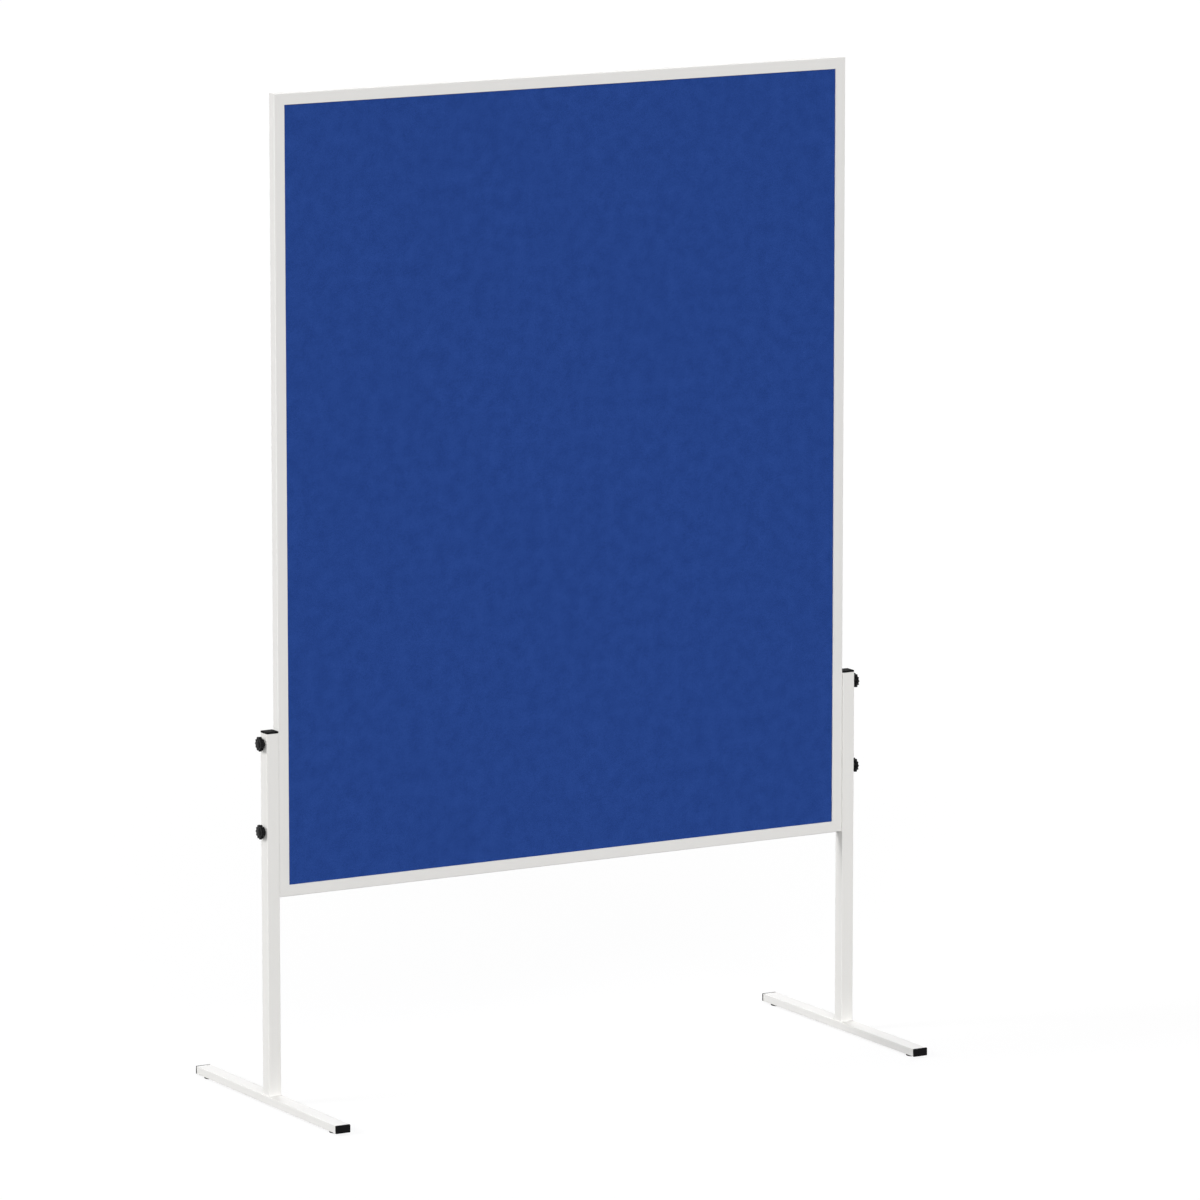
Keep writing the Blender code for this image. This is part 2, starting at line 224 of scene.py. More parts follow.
def finish(name, **sockets):
    """A Principled material with these plain socket values, and its node tree and shader."""
    made = bpy.data.materials.new(name)
    made.use_nodes = True
    shader = made.node_tree.nodes["Principled BSDF"]
    for socket, value in sockets.items():
        shader.inputs[socket.replace("_", " ")].default_value = value
    return made, made.node_tree, shader


def wire(tree, shader, **sockets):
    for socket, value in sockets.items():
        tree.links.new(value, shader.inputs[socket.replace("_", " ")])


def white_coat(name, peel_mm, tone):
    """White powder coat: orange peel, a little cloudiness, and thin grey wear along its edges."""
    made, tree, shader = finish(name, IOR=1.5, Specular_IOR_Level=0.5)
    cloud = grain(tree, 55, 3)
    body = ramp(tree, cloud, ((0.25, [c * 0.985 for c in tone]), (0.75, tone)))
    rub = sums(tree, "MULTIPLY", edge_share(tree, 0.5 * MM), spread(tree, grain(tree, 2.2, 4), 0, 0.45))
    worn = [c * 0.72 for c in tone]
    wire(
        tree,
        shader,
        Base_Color=blended(tree, rub, body, worn),
        Roughness=spread(tree, grain(tree, 9, 3), 0.36, 0.46),
        Normal=relief(tree, grain(tree, peel_mm, 2), 0.03 * MM, 0.5),
    )
    return made


def black_plastic(name, base, grain_mm, roughness, gloss, rise=0.5):
    """Moulded black plastic: a fine eroded grain, greyer and smoother along its handled edges."""
    made, tree, shader = finish(name, IOR=1.46, Specular_IOR_Level=gloss)
    body = ramp(tree, grain(tree, 7, 3), ((0.3, [c * 0.82 for c in base]), (0.7, base)))
    rub = sums(tree, "MULTIPLY", edge_share(tree, 0.6 * MM), spread(tree, grain(tree, 1.4, 4), 0.1, 0.6))
    rubbed = [c * 2.4 for c in base]
    matt = spread(tree, grain(tree, 3, 3), *roughness)
    wire(
        tree,
        shader,
        Base_Color=blended(tree, rub, body, rubbed),
        Roughness=sums(tree, "SUBTRACT", matt, sums(tree, "MULTIPLY", rub, 0.08)),
        Normal=relief(tree, grain(tree, grain_mm, 3), 0.04 * MM, rise),
    )
    return made


def felt(name):
    """Pressed blue felt: short fibres lying every way over a slightly cloudy body."""
    made, tree, shader = finish(
        name,
        IOR=1.4,
        Specular_IOR_Level=0.08,
        Roughness=0.95,
        Sheen_Weight=0.10,
        Sheen_Roughness=0.45,
        Sheen_Tint=(0.35, 0.5, 1.0, 1),
    )
    fibres = None
    for turn in (0.3, 1.1, 1.9, 2.7):
        layer = grain(tree, 0.35, 2, stretch=(0.16, 1, 1), turn=(0, turn, 0), warp=0.6)
        fibres = layer if fibres is None else sums(tree, "MAXIMUM", fibres, layer)
    lay = spread(tree, fibres, 0, 1, 0.42, 0.80)
    cloud = spread(tree, grain(tree, 28, 4), 0, 1, 0.25, 0.75)
    mixed = sums(tree, "ADD", sums(tree, "MULTIPLY", lay, 0.8), sums(tree, "MULTIPLY", cloud, 0.2))
    deep, middle, pale = (0.0125, 0.041, 0.193), (0.021, 0.064, 0.287), (0.0375, 0.101, 0.402)
    wire(
        tree,
        shader,
        Base_Color=ramp(tree, mixed, ((0.15, deep), (0.5, middle), (0.9, pale))),
        Normal=relief(tree, sums(tree, "ADD", lay, grain(tree, 1.6, 3)), 0.12 * MM, 0.55),
    )
    return made


def softboard(name):
    """Pressed wood fibre, brown and flecked."""
    made, tree, shader = finish(name, Roughness=0.95, Specular_IOR_Level=0.2)
    flecks = grain(tree, 0.9, 5, stretch=(0.3, 1, 1), warp=0.8)
    tones = ((0.3, (0.26, 0.17, 0.10)), (0.5, (0.42, 0.31, 0.20)), (0.75, (0.56, 0.44, 0.30)))
    wire(tree, shader, Base_Color=ramp(tree, flecks, tones), Normal=relief(tree, flecks, 0.2 * MM, 0.6))
    return made


def zinc_plate(name):
    """Bright zinc plating: cloudy, finely drawn, with a faint warm and cool cast."""
    made, tree, shader = finish(name, Metallic=1.0)
    drawn = grain(tree, 0.25, 3, stretch=(1, 1, 0.08))
    cast = ((0.25, (0.50, 0.53, 0.58)), (0.5, (0.62, 0.62, 0.62)), (0.8, (0.66, 0.63, 0.55)))
    wire(
        tree,
        shader,
        Base_Color=ramp(tree, grain(tree, 4, 4), cast),
        Roughness=spread(tree, drawn, 0.24, 0.42),
        Normal=relief(tree, drawn, 0.01 * MM, 0.4),
    )
    return made


def cast_zinc(name):
    """Die-cast zinc: dull, with flow marks and a pitted skin."""
    made, tree, shader = finish(name, Metallic=1.0)
    skin = grain(tree, 0.8, 5, warp=0.7)
    tones = ((0.3, (0.36, 0.36, 0.38)), (0.7, (0.52, 0.52, 0.54)))
    wire(
        tree,
        shader,
        Base_Color=ramp(tree, grain(tree, 6, 4, warp=1.2), tones),
        Roughness=spread(tree, skin, 0.42, 0.62),
        Normal=relief(tree, skin, 0.05 * MM, 0.6),
    )
    return made


FRAME_COAT = white_coat("frame_coat", 1.6, (0.826, 0.815, 0.796))
# The stand's white is a little lighter than the frame's: partly painted light, lifting the low posts that lie
# in shade near the floor.
STAND_COAT = white_coat("stand_coat", 2.1, (0.845, 0.835, 0.812))
BLUE_FELT = felt("blue_felt")
BOARD_FIBRE = softboard("board_fibre")
PLUG_PLASTIC = black_plastic("plug_plastic", (0.0105, 0.0105, 0.011), 0.35, (0.68, 0.82), 0.03)
KNOB_PLASTIC = black_plastic("knob_plastic", (0.005, 0.005, 0.0054), 0.28, (0.12, 0.20), 0.08, 0.15)
GLIDE_PLASTIC = black_plastic("glide_plastic", (0.012, 0.012, 0.0125), 0.5, (0.6, 0.75), 0.1)
ZINC_PLATE = zinc_plate("zinc_plate")
CAST_ZINC = cast_zinc("cast_zinc")


def box_of(node):
    """The node's middle, and its half sizes."""
    low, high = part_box(node)
    return (low + high) / 2, (high - low) / 2


def loft(rings, looped=False):
    """Skins rings of equal count. A one-point ring closes an end, and looped joins the last to the first."""
    bm = bmesh.new()
    placed = [[bm.verts.new(point) for point in ring] for ring in rings]
    pairs = list(zip(placed, placed[1:]))
    if looped:
        pairs.append((placed[-1], placed[0]))
    for first, second in pairs:
        count = max(len(first), len(second))
        for i in range(count):
            j = (i + 1) % count
            if len(first) == 1:
                bm.faces.new((first[0], second[j], second[i]))
            elif len(second) == 1:
                bm.faces.new((first[i], first[j], second[0]))
            else:
                bm.faces.new((first[i], first[j], second[j], second[i]))
    return bm


def new_object(name, bm, place, material=None, smooth_below=38):
    bmesh.ops.recalc_face_normals(bm, faces=bm.faces)
    mesh = bpy.data.meshes.new(name)
    bm.to_mesh(mesh)
    bm.free()
    mesh.shade_smooth()
    mesh.set_sharp_from_angle(angle=math.radians(smooth_below))
    if material:
        mesh.materials.append(material)
    made = bpy.data.objects.new(name, mesh)
    bpy.context.scene.collection.objects.link(made)
    made.matrix_world = place
    return made


def settle(piece, body, slot, *nodes):
    """The piece rides on its body and stands for the nodes, which it hides. The slot is not used."""
    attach(piece, body)
    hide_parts(*nodes)
    return piece


def even_out(piece):
    """Keeps the shading of flat faces flat beside their rounded edges."""
    shading = piece.modifiers.new("flat_faces", "WEIGHTED_NORMAL")
    shading.keep_sharp = True
    shading.weight = 100


def cut_and_soften(piece, cutters, arris):
    """Cuts the cutters out, rounds the sharp edges by the arris, and leaves one finished mesh."""
    for cutter in cutters:
        modifier = piece.modifiers.new(cutter.name, "BOOLEAN")
        modifier.operation = "DIFFERENCE"
        modifier.solver = "EXACT"
        modifier.object = cutter
    bevel = piece.modifiers.new("arris", "BEVEL")
    bevel.width = arris
    bevel.segments = 2
    bevel.limit_method = "ANGLE"
    bevel.angle_limit = math.radians(50)
    bevel.harden_normals = True
    even_out(piece)
    bpy.context.view_layer.update()
    graph = bpy.context.evaluated_depsgraph_get()
    mesh = bpy.data.meshes.new_from_object(piece.evaluated_get(graph))
    mesh.name = piece.name
    piece.modifiers.clear()
    piece.data = mesh
    for cutter in cutters:
        bpy.data.objects.remove(cutter)


def rounded(corners, steps):
    """The outline through (x, y, radius) corners, each rounded by an arc of its radius."""
    points = []
    for i, (x, y, radius) in enumerate(corners):
        here = Vector((x, y))
        if not radius:
            points.append(here)
            continue
        back = (Vector(corners[i - 1][:2]) - here).normalized()
        ahead = (Vector(corners[(i + 1) % len(corners)][:2]) - here).normalized()
        half = back.angle(ahead) / 2
        centre = here + (back + ahead).normalized() * radius / math.sin(half)
        start = here + back * radius / math.tan(half) - centre
        sweep = start.angle_signed(here + ahead * radius / math.tan(half) - centre)
        for k in range(steps + 1):
            spoke = start.copy()
            spoke.rotate(Matrix.Rotation(-sweep * k / steps, 2))
            points.append(centre + spoke)
    return points


def rectangle(half_x, half_y, radius, steps=6):
    radius = max(min(radius, half_x, half_y), least_radius)
    signs = ((1, 1), (-1, 1), (-1, -1), (1, -1))
    return rounded([(sx * half_x, sy * half_y, radius) for sx, sy in signs], steps)


def level_ring(outline, z):
    return [(point.x, point.y, z) for point in outline]


def circle(radius, z, steps=64):
    if not radius:
        return [(0, 0, z)]
    turns = [2 * math.pi * (k + 0.5) / steps for k in range(steps)]
    return [(radius * math.cos(a), radius * math.sin(a), z) for a in turns]


def arc(centre_r, centre_z, radius, start, end, steps=5):
    """Points (r, z) of a turned profile along an arc, with angles in degrees."""
    points = []
    for k in range(steps + 1):
        a = math.radians(start + (end - start) * k / steps)
        points.append((centre_r + radius * math.cos(a), centre_z + radius * math.sin(a)))
    return points


def turned(profile, steps=64):
    return loft([circle(radius, z, steps) for radius, z in profile], looped=bool(profile[0][0]))


def outwards(side, x, z):
    """Puts a piece made along +Z on the board's outside at that X and height, pointing away from it."""
    return Matrix.Translation((x, 0, z)) @ Matrix.Rotation(side * math.pi / 2, 4, "Y")


def cylinder(name, place, radius, low, high):
    profile = ((0, low), (radius, low), (radius, high), (0, high))
    return new_object(name, turned(profile, 48), place)


def screw_heights(label):
    return [box_of(f"stud_{label}_{level}")[0].z for level in LEVELS]


def profile_outline():
    """The frame profile as (distance inwards, place through the depth), and its chamber."""
    _, half = box_of("stile_left")
    face, depth = 2 * half.x, half.y
    under_lip = depth - profile_lip
    groove = face - profile_groove
    outline = rounded(
        (
            (0, depth, profile_edge_radius),
            (0, -depth, profile_edge_radius),
            (face, -depth, profile_lip_radius),
            (face, -under_lip, profile_lip_radius),
            (groove, -under_lip, 0),
            (groove, under_lip, 0),
            (face, under_lip, profile_lip_radius),
            (face, depth, profile_lip_radius),
        ),
        8,
    )
    inner, chamber = depth - profile_wall, groove - profile_wall
    hollow = rounded(
        (
            (profile_wall, inner, profile_chamber_radius),
            (profile_wall, -inner, profile_chamber_radius),
            (chamber, -inner, profile_chamber_radius),
            (chamber, inner, profile_chamber_radius),
        ),
        4,
    )
    return outline, hollow


def frame_member(name, middle, inwards, along, length, cutters=()):
    """One mitred length of the profile, standing for the node of its name."""
    outline, hollow = profile_outline()
    depth = Vector((0, 1, 0))
    bm = bmesh.new()
    ends = []
    for sign in (-1, 1):
        loops = []
        for loop in (outline, hollow):
            reach = [length / 2 - point.x - mitre_gap for point in loop]
            points = [inwards * p.x + depth * p.y + along * sign * r for p, r in zip(loop, reach)]
            loops.append([bm.verts.new(point) for point in points])
        ends.append(loops)
    for first, second in zip(*ends):
        for i in range(len(first)):
            j = (i + 1) % len(first)
            bm.faces.new((first[i], first[j], second[j], second[i]))
    for loops in ends:
        rims = []
        for loop in loops:
            rims += [bm.edges.get((loop[i], loop[(i + 1) % len(loop)])) for i in range(len(loop))]
        bmesh.ops.triangle_fill(bm, use_beauty=True, use_dissolve=False, edges=rims)
    made = new_object(name + "_profile", bm, Matrix.Translation(middle), FRAME_COAT)
    cut_and_soften(made, cutters, mitre_arris)
    return settle(made, BOARD, "frame_white", name)


def frame_members():
    middle, half = box_of("stile_left")
    edge, height = -(middle.x - half.x), 2 * half.z
    for label, side in SIDES:
        cutters = []
        for k, z in enumerate(screw_heights(label)):
            place = outwards(side, side * edge, z)
            _, head_half = box_of(f"insert_{label}_{LEVELS[k]}")
            body = insert_body_radius + insert_clearance
            wide = head_half.y + insert_clearance
            end = -profile_wall - cut_overrun
            profile = (
                (0, cut_overrun),
                (wide, cut_overrun),
                (wide, -insert_sink),
                (body, -insert_sink),
                (body, end),
                (0, end),
            )
            cutters.append(new_object(f"hole_{label}_{k}", turned(profile, 48), place))
        start = Vector((side * edge, 0, middle.z))
        frame_member("stile_" + label, start, Vector((-side, 0, 0)), Vector((0, 0, 1)), height, cutters)
    for name, z, up in (("rail_top", middle.z + half.z, -1), ("rail_bottom", middle.z - half.z, 1)):
        frame_member(name, Vector((0, 0, z)), Vector((0, 0, up)), Vector((1, 0, 0)), 2 * edge)


def tube(name, half_x, half_y, low, high, place):
    """A rounded tube along its own Z."""
    outer = rectangle(half_x, half_y, tube_radius)
    inner = rectangle(half_x - tube_wall, half_y - tube_wall, tube_radius - tube_wall)
    levels = ((outer, low), (outer, high), (inner, high), (inner, low))
    rings = [level_ring(outline, z) for outline, z in levels]
    return new_object(name, loft(rings, looped=True), place, STAND_COAT)


def weld(label, x, z, half):
    """A rippled fillet weld round the foot of the post."""
    path = rectangle(half, half, tube_radius, 10)
    dense = []
    for i, point in enumerate(path):
        ahead = path[(i + 1) % len(path)]
        count = max(1, round((ahead - point).length / (weld_ripple_pitch / 6)))
        dense += [point.lerp(ahead, k / count) for k in range(count)]
    travelled, places = 0, []
    for i, point in enumerate(dense):
        ahead = dense[(i + 1) % len(dense)]
        along = (ahead - dense[i - 1]).normalized()
        places.append((point, Vector((along.y, -along.x)), travelled))
        travelled += (ahead - point).length
    waves = round(travelled / weld_ripple_pitch)
    steps = 7
    rings = []
    for k in range(steps + 1):
        turn = math.pi / 2 * k / steps
        ring = []
        for point, out, reached in places:
            swell = math.sin(2 * turn) * weld_ripple * abs(math.sin(math.pi * waves * reached / travelled))
            across = weld_leg_across * (1 - math.sin(turn) * 0.94) + swell * 0.8
            up = weld_leg_up * (1 - math.cos(turn) * 0.96) + swell
            foot = point + out * (across if k < steps else -weld_sink)
            ring.append((foot.x, foot.y, up))
        rings.append(ring)
    inside = [(p.x - o.x * weld_root, p.y - o.y * weld_root) for p, o, _ in places]
    rings.append([(px, py, weld_leg_up) for px, py in inside])
    rings.append([(px, py, 0) for px, py in inside])
    bm = loft(rings, looped=True)
    made = new_object(f"post_weld_{label}", bm, Matrix.Translation((x, 0, z + weld_seat)), STAND_COAT, 60)
    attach(made, BOARD)


def posts_and_feet():
    for label, side in SIDES:
        foot, foot_half = box_of("foot_" + label)
        cap, cap_half = box_of("post_cap_" + label)
        half = cap_half.x
        low = foot.z + foot_half.z
        high = cap.z + cap_half.z - plug_flange - plug_gap
        stile, stile_half = box_of("stile_" + label)
        closed = side * (foot.x - stile.x) - half - stile_half.x - clamped_gap
        place = Matrix.Translation((foot.x - side * closed / 2, 0, low + weld_seat))
        made = tube("post_tube_" + label, half + closed / 2, half, 0, high - low, place)
        cutters = []
        through = half + cut_overrun
        for k, z in enumerate(screw_heights(label)):
            place = outwards(side, foot.x, z)
            cutters.append(cylinder(f"screw_hole_{label}_{k}", place, screw_hole_radius, -through, through))
        cut_and_soften(made, cutters, cut_arris)
        settle(made, BOARD, "stand_white", "post_" + label)
        weld(label, foot.x, low, half)
        laid = Matrix.Translation(foot) @ Matrix.Rotation(-math.pi / 2, 4, "X")
        made = tube("foot_tube_" + label, foot_half.x, foot_half.z, -foot_half.y, foot_half.y, laid)
        cutters = []
        through = tube_wall + cut_overrun
        for end, _ in ENDS:
            glide, _ = box_of(f"glide_{label}_{end}")
            place = Matrix.Translation((foot.x, glide.y, foot.z - foot_half.z))
            cutters.append(cylinder(f"glide_hole_{label}_{end}", place, glide_hole_radius, -through, through))
        cut_and_soften(made, cutters, cut_arris)
        settle(made, BOARD, "stand_white", "foot_" + label)


def plug(name, half_x, half_y, depth, place):
    """A push-in plug: a crowned flange with a mould seam, and a hollow skirt with thin ribs."""
    radius = tube_radius
    rings = [[(0, 0, plug_flange)]]
    shares = (0.2, 0.4, 0.6, 0.8, 0.92)
    rim_x, rim_y = half_x - plug_edge_radius, half_y - plug_edge_radius
    for share in shares:
        z = plug_flange - plug_crown * share**2
        rings.append(level_ring(rectangle(rim_x * share, rim_y * share, radius * share), z))
    top = plug_flange - plug_crown
    edge_steps = 6
    for k in range(edge_steps + 1):
        turn = math.pi / 2 * k / edge_steps
        inset = plug_edge_radius * (1 - math.sin(turn))
        z = top - plug_edge_radius * (1 - math.cos(turn))
        rings.append(level_ring(rectangle(half_x - inset, half_y - inset, radius - inset / 2), z))
    seam = plug_flange * 0.3
    sides = ((seam + plug_seam, 0), (seam, plug_seam / 2), (seam - plug_seam, 0))
    for z, inset in (*sides, (plug_arris, 0), (0, plug_arris)):
        rings.append(level_ring(rectangle(half_x - inset, half_y - inset, radius), z))
    fit_x, fit_y = half_x - tube_wall - plug_gap, half_y - tube_wall - plug_gap
    skirt_x, skirt_y = fit_x - plug_rib, fit_y - plug_rib
    inner = max(radius - tube_wall, plug_gap)
    rings.append(level_ring(rectangle(skirt_x, skirt_y, inner), 0))
    pitch = depth / (plug_rib_count + 1)
    # A rib's section, as (height in pitches, share of its full reach)
    rib_section = ((0.28, 0), (0.06, 0.9), (-0.06, 1), (-0.12, 0.9), (-0.2, 0))
    for k in range(plug_rib_count):
        z = -pitch * (k + 0.6)
        for dz, share in rib_section:
            outline = rectangle(skirt_x + plug_rib * share, skirt_y + plug_rib * share, inner)
            rings.append(level_ring(outline, z + pitch * dz))
    bore_x, bore_y = skirt_x - plug_wall, skirt_y - plug_wall
    rings.append(level_ring(rectangle(skirt_x - plug_wall / 2, skirt_y - plug_wall / 2, inner), -depth))
    rings.append(level_ring(rectangle(bore_x, bore_y, inner), -depth))
    rings.append(level_ring(rectangle(bore_x, bore_y, inner), -plug_wall))
    rings.append([(0, 0, -plug_wall)])
    made = new_object(name + "_moulding", loft(rings), place, PLUG_PLASTIC, 50)
    even_out(made)
    settle(made, BOARD, "plug_black", name)


def plugs():
    for label, _ in SIDES:
        middle, half = box_of("post_cap_" + label)
        seat = Matrix.Translation((middle.x, 0, middle.z + half.z - plug_flange))
        plug("post_cap_" + label, half.x, half.y, 2 * half.z - plug_flange, seat)
        for end, sign in ENDS:
            name = f"foot_plug_{label}_{end}"
            middle, half = box_of(name)
            seat = Matrix.Translation((middle.x, middle.y + sign * (half.y - plug_flange), middle.z))
            laid = Matrix.Rotation(-sign * math.pi / 2, 4, "X")
            plug(name, half.x, half.z, 2 * half.y - plug_flange, seat @ laid)


def glides():
    for label, _ in SIDES:
        foot, foot_half = box_of("foot_" + label)
        top = foot.z - foot_half.z - glide_gap
        catch = top + tube_wall + plug_gap
        for end, _ in ENDS:
            name = f"glide_{label}_{end}"
            middle, half = box_of(name)
            radius = half.x
            ring = radius - glide_edge_radius
            upper = glide_edge_radius / 2
            profile = [(0, glide_dish), (ring * 0.55, glide_dish), (ring * 0.62, 0)]
            profile += arc(ring, glide_edge_radius, glide_edge_radius, -90, 0)
            profile += arc(radius - upper, top - upper, upper, 0, 90)
            profile += [
                (glide_stem_radius, top),
                (glide_stem_radius, catch),
                (glide_stem_radius + glide_barb, catch),
                (glide_stem_radius + glide_barb, catch + glide_barb * 0.8),
                (glide_stem_radius - glide_barb, 2 * half.z),
                (0, 2 * half.z),
            ]
            place = Matrix.Translation((middle.x, middle.y, 0))
            made = new_object(name + "_pad", turned(profile), place, GLIDE_PLASTIC)
            settle(made, BOARD, "glide_black", name)


def knob(label, side, level, post_edge):
    """A star knob: a hub, a rim of blunt points between round flutes, and a domed face set in a groove."""
    name = f"knob_{label}_{level}"
    middle, half = box_of(name)
    base = side * middle.x - half.x - post_edge
    radius, top = knob_radius, base + 2 * half.x
    face, rim = top - knob_dome, base + knob_hub
    bore, hub = knob_bore_radius, knob_hub_radius
    ring_inside = radius - knob_flute - knob_edge_radius - knob_ring
    steps = 18
    dome_steps = 12

    def ring(r, z, share=0.0):
        """One point lies level with the axis: at the back on the left side, at the front on the right."""
        points = []
        for k in range(knob_lobe_count * steps):
            blunt = math.hypot(math.sin(math.pi * k / steps), knob_lobe_tip) - knob_lobe_tip
            turn = 2 * math.pi * k / (knob_lobe_count * steps) - side * math.pi / 2
            reach = r - share * knob_flute * blunt
            points.append((reach * math.cos(turn), reach * math.sin(turn), z))
        return points

    rings = [[(0, 0, base + knob_seat)]]
    plain = [(bore, base + knob_seat), (bore, base + knob_hub_chamfer), (bore + knob_hub_chamfer, base)]
    plain += [(hub - knob_hub_chamfer, base), (hub, base + knob_hub_chamfer)]
    plain += [(hub, rim - knob_hub_fillet), (hub + knob_hub_fillet, rim)]
    rings += [ring(r, z) for r, z in plain]
    soft = knob_edge_radius
    edge = arc(radius - soft, rim + soft, soft, -90, 0, 7) + arc(radius - soft, face - soft, soft, 0, 90, 9)
    rings += [ring(r, z, 1.0) for r, z in edge]
    rings.append(ring(ring_inside + knob_ring_run, face - knob_ring_dip))
    lip = knob_ring_lip
    rings += [ring(r, z) for r, z in arc(ring_inside + lip, face - lip, lip, 90, 180, 4)]
    dome = ring_inside - knob_groove
    rings += [ring(ring_inside, face - knob_groove), ring(dome, face - knob_groove)]
    rise = knob_dome + knob_groove
    for k in range(1, dome_steps):
        turn = math.pi / 2 * k / dome_steps
        across = dome * math.cos(turn) ** knob_dome_power
        rings.append(ring(across, face - knob_groove + rise * math.sin(turn)))
    rings.append([(0, 0, top)])
    stud_middle, _ = box_of(f"stud_{label}_{level}")
    place = outwards(side, side * post_edge, stud_middle.z)
    made = new_object(name + "_moulding", loft(rings), place, KNOB_PLASTIC, 55)
    settle(made, f"screw_{label}_{level}", "knob_black", name)


def threaded(radius, low, high, steps=28, per_turn=8):
    """A rod along Z with a right-hand thread, chamfered at its low end."""
    rings = [[(0, 0, low)]]
    count = round((high - low) / thread_pitch * per_turn)
    for i in range(count + 1):
        z = low + (high - low) * i / count
        lead = min(1, (z - low) / thread_pitch)
        ring = []
        for k in range(steps):
            phase = (z / thread_pitch - k / steps) % 1
            # 0 on the narrow crest, 1 along the wider root
            dip = min(1, max(0, 1.35 * abs(2 * phase - 1) - 0.12))
            reach = (radius - thread_depth * dip) * (0.82 + 0.18 * lead)
            turn = 2 * math.pi * k / steps
            ring.append((reach * math.cos(turn), reach * math.sin(turn), z))
        rings.append(ring)
    rings.append([(0, 0, high)])
    return loft(rings)


def stud(label, side, level, post_edge):
    name = f"stud_{label}_{level}"
    middle, half = box_of(name)
    low, high = side * middle.x - half.x - post_edge, side * middle.x + half.x - post_edge
    place = outwards(side, side * post_edge, middle.z)
    made = new_object(name + "_thread", threaded(half.z, low, high), place, ZINC_PLATE, 30)
    settle(made, f"screw_{label}_{level}", "zinc_steel", name)


def washer(label, side, level, post_edge):
    name = f"washer_{label}_{level}"
    middle, half = box_of(name)
    low, high = side * middle.x - half.x - post_edge, side * middle.x + half.x - post_edge
    a, radius, bore = washer_arris, half.z, washer_bore_radius
    profile = [(bore, low + a), (bore + a, low)] + arc(radius - 2 * a, low + 2 * a, 2 * a, -90, 0, 3)
    profile += arc(radius - 2 * a, high - 2 * a, 2 * a, 0, 90, 3) + [(bore + a, high), (bore, high - a)]
    place = outwards(side, side * post_edge, middle.z)
    made = new_object(name + "_ring", turned(profile), place, ZINC_PLATE)
    settle(made, name, "zinc_steel", name)


def insert(label, side, level):
    """A rivet nut with a flat head, a knurled body and the bulge that grips behind the wall."""
    name = f"insert_{label}_{level}"
    middle, half = box_of(name)
    head = side * middle.x + half.x
    bore, body = washer_bore_radius, insert_body_radius
    grip = -profile_wall - insert_clearance
    profile = (
        (bore, 0, 0),
        (half.z, 0, 0),
        (half.z, -insert_head, 0),
        (body, -insert_head, 0),
        (body, -insert_head - insert_knurl, 1),
        (body, grip + insert_knurl, 1),
        (body, grip, 0),
        (body + insert_bulge, grip, 0),
        (body + insert_bulge, grip - insert_bulge_length, 0),
        (body, grip - insert_bulge_length - insert_bulge, 0),
        (body, -2 * half.x, 0),
        (bore, -2 * half.x, 0),
    )
    count = insert_knurl_count * 4
    rings = []
    for r, z, knurled in profile:
        ring = []
        for k in range(count):
            turn = 2 * math.pi * k / count
            reach = r - knurled * insert_knurl * (k % 4 in (1, 2))
            ring.append((reach * math.cos(turn), reach * math.sin(turn), z))
        rings.append(ring)
    place = outwards(side, side * head, middle.z)
    made = new_object(name + "_body", loft(rings, looped=True), place, ZINC_PLATE)
    settle(made, BOARD, "zinc_steel", name)


def clamp_screws():
    for label, side in SIDES:
        middle, half = box_of("post_cap_" + label)
        post_edge = side * middle.x + half.x
        for level in LEVELS:
            insert(label, side, level)
            stud(label, side, level, post_edge)
            washer(label, side, level, post_edge)
            knob(label, side, level, post_edge)


def felt_lines(half, lip):
    """Grid lines across the felt: its edge, the lip, the ease up to the field, and even cells between."""
    inner = half - lip
    ease = [inner - felt_ease * k / felt_margin_steps for k in range(felt_margin_steps + 1)]
    count = math.ceil(2 * ease[-1] / felt_cell)
    field = [-ease[-1] + 2 * ease[-1] * k / count for k in range(count + 1)]
    return [-half, *[-x for x in ease[:-1]], *field, *reversed(ease[:-1]), half]


def felt_sheet(end, sign):
    """A stretched felt sheet whose margins are pressed thin under the frame's lips."""
    name = "fabric_" + end
    middle, half = box_of(name)
    stile, stile_half = box_of("stile_left")
    lip = half.x - (-(stile.x + stile_half.x))
    xs, zs = felt_lines(half.x, lip), felt_lines(half.z, lip)
    inner_x, inner_z = half.x - lip, half.z - lip
    thickness = 2 * half.y

    def rise(x, z):
        clear = min(inner_x - abs(x), inner_z - abs(z))
        share = max(0, min(1, clear / felt_ease))
        up = share * share * (3 - 2 * share)
        slow, cross, fine = (a * x + b * z for a, b in felt_wave_turns)
        wave = math.sin(slow + sign) * math.sin(cross) + 0.5 * math.sin(fine)
        return up * (felt_press - felt_wave + felt_wave * 0.6 * wave)

    def outline_of(grid):
        """The grid's outermost vertices, once round."""
        right = [row[-1] for row in grid[1:]]
        left = [row[0] for row in grid[-2:0:-1]]
        return grid[0] + right + grid[-1][-2::-1] + left

    bm = bmesh.new()
    inside = -sign * thickness / 2
    pressed = inside + sign * (thickness - felt_press)
    outer = [[bm.verts.new((x, pressed + sign * rise(x, z), z)) for x in xs] for z in zs]
    inner = [[bm.verts.new((x, inside, z)) for x in xs] for z in zs]
    for grid in (outer, inner):
        for j in range(len(zs) - 1):
            for i in range(len(xs) - 1):
                bm.faces.new((grid[j][i], grid[j][i + 1], grid[j + 1][i + 1], grid[j + 1][i]))
    first, second = outline_of(outer), outline_of(inner)
    for i in range(len(first)):
        j = (i + 1) % len(first)
        bm.faces.new((first[i], first[j], second[j], second[i]))
    made = new_object(f"felt_{end}", bm, Matrix.Translation(middle), BLUE_FELT, 50)
    settle(made, BOARD, "fabric_blue", name)


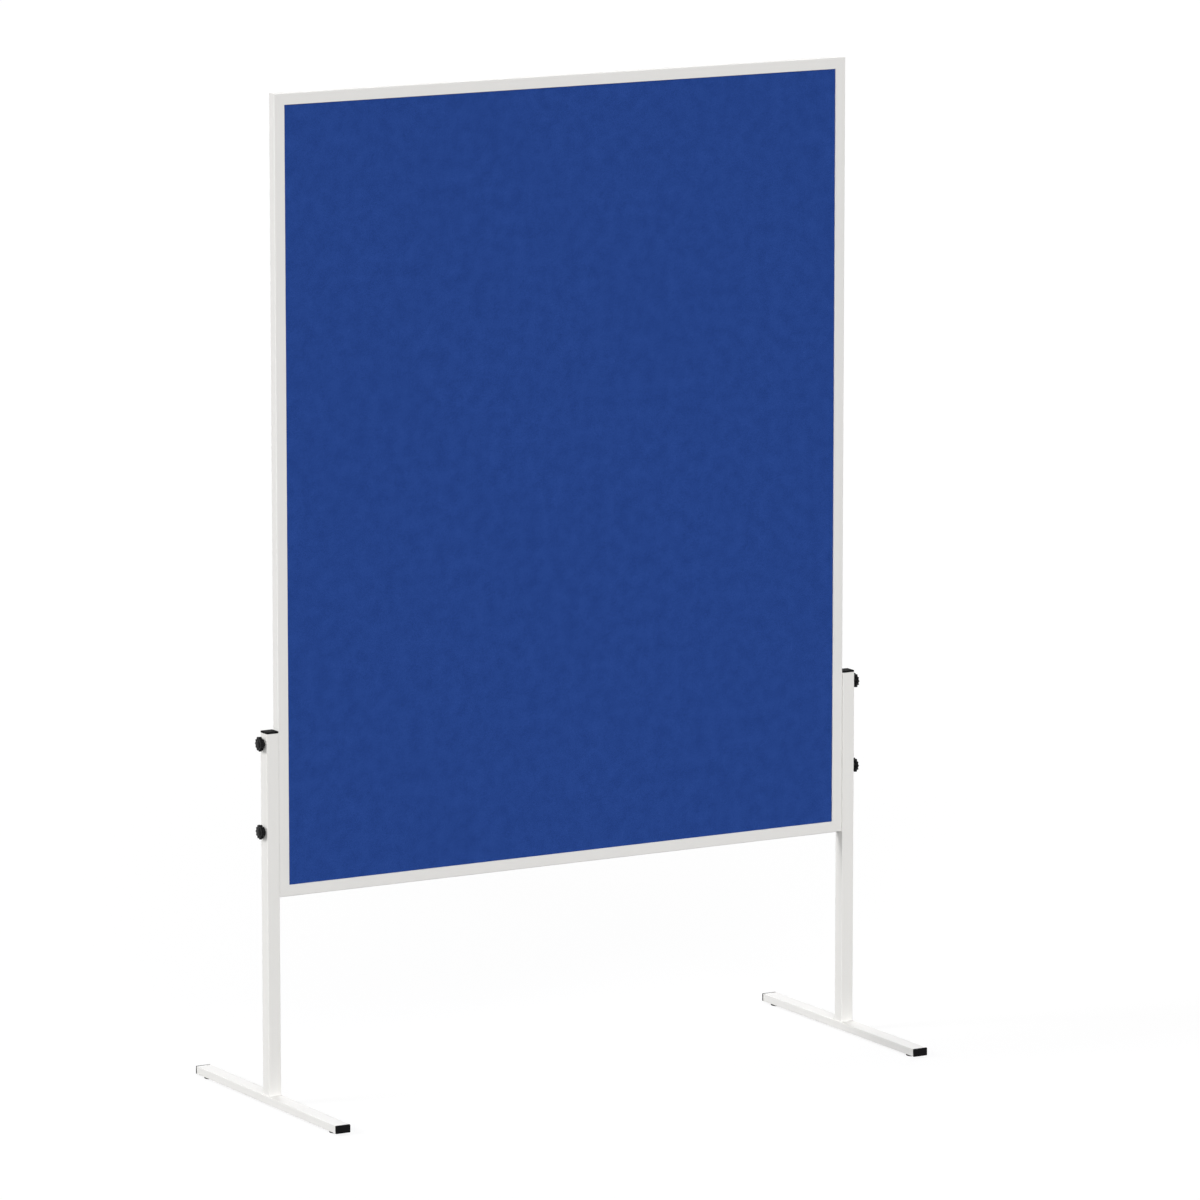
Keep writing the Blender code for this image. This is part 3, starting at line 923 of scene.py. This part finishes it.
def kept_nodes():
    """The hidden pieces whose plain shape is kept, with their detailed finishes."""
    keys = [f"corner_key_{label}_{level}" for label, _ in SIDES for level in ("top", "bottom")]
    for name in [*keys, "panel_core"]:
        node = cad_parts[name]
        node.data.materials.clear()
        node.data.materials.append(BOARD_FIBRE if name == "panel_core" else CAST_ZINC)


def whole_background(tree):
    """1 for what the camera sees, straight or in gloss and glass, and 0 for the light on the object."""
    path = add(tree, "LightPath").outputs
    seen = sums(tree, "MAXIMUM", path["Is Camera Ray"], path["Is Glossy Ray"])
    return sums(tree, "MAXIMUM", seen, path["Is Transmission Ray"])


def floor():
    """A pale floor that looks white where it is lit and keeps a soft shadow of the object."""
    bm = bmesh.new()
    bmesh.ops.create_grid(bm, x_segments=1, y_segments=1, size=floor_half_size)
    made = new_object("floor", bm, Matrix.Identity(4))
    material = bpy.data.materials.new("floor_paper")
    material.use_nodes = True
    tree = material.node_tree
    tree.nodes.clear()
    lit = add(tree, "BsdfDiffuse", {"Color": (0.10, 0.10, 0.10, 1)}).outputs[0]
    shadow = add(tree, "BsdfDiffuse", {"Color": (0.16, 0.16, 0.16, 1)}).outputs[0]
    glow = add(tree, "Emission", {"Color": (1, 1, 1, 1), "Strength": 0.88}).outputs[0]
    seen = add(tree, "AddShader", {0: shadow, 1: glow}).outputs[0]
    mixed = add(tree, "MixShader", {0: whole_background(tree), 1: lit, 2: seen}).outputs[0]
    add(tree, "OutputMaterial", {"Surface": mixed})
    made.data.materials.append(material)


def studio():
    """An even white room: ambient light, a soft key from the left, two fills in front and two behind."""
    world = bpy.data.worlds.new("studio")
    bpy.context.scene.world = world
    world.use_nodes = True
    tree = world.node_tree
    tree.nodes.clear()
    ambient = add(tree, "Background", {"Color": (1, 1, 1, 1), "Strength": 0.20}).outputs[0]
    white = add(tree, "Background", {"Color": (1, 1, 1, 1), "Strength": 1.0}).outputs[0]
    mixed = add(tree, "MixShader", {0: whole_background(tree), 1: ambient, 2: white}).outputs[0]
    add(tree, "OutputWorld", {"Surface": mixed})
    lamps = (
        ("key", (-0.87, 0.17, 0.46), 0.55, 20),
        ("left_fill", (-0.47, -0.83, 0.30), 0.76, 50),
        ("right_fill", (0.45, -0.85, 0.27), 0.195, 50),
        ("back_fill", (0.68, 0.72, 0.10), 0.42, 70),
        ("rear_fill", (0.0, 1.0, 0.05), 0.16, 30),
    )
    for name, towards, level, spread_degrees in lamps:
        lamp = bpy.data.lights.new(name, "SUN")
        lamp.energy = level * math.pi
        lamp.angle = math.radians(spread_degrees)
        made = bpy.data.objects.new(name, lamp)
        made.matrix_world = Vector(towards).to_track_quat("Z", "Y").to_matrix().to_4x4()
        bpy.context.scene.collection.objects.link(made)


def camera():
    forward = Vector((
        math.sin(camera_yaw) * math.cos(camera_pitch),
        math.cos(camera_yaw) * math.cos(camera_pitch),
        -math.sin(camera_pitch),
    ))
    lens = bpy.data.cameras.new("camera")
    lens.sensor_width = camera_sensor_mm
    lens.lens = camera_lens_mm
    lens.clip_end = 200
    made = bpy.data.objects.new("camera", lens)
    made.location = camera_target - forward * camera_distance
    made.rotation_euler = forward.to_track_quat("-Z", "Y").to_euler()
    bpy.context.scene.collection.objects.link(made)
    bpy.context.scene.camera = made


frame_members()
posts_and_feet()
plugs()
glides()
clamp_screws()
for end, sign in ENDS:
    felt_sheet(end, sign)
kept_nodes()
floor()
studio()
camera()
bpy.context.scene.view_settings.view_transform = "Standard"
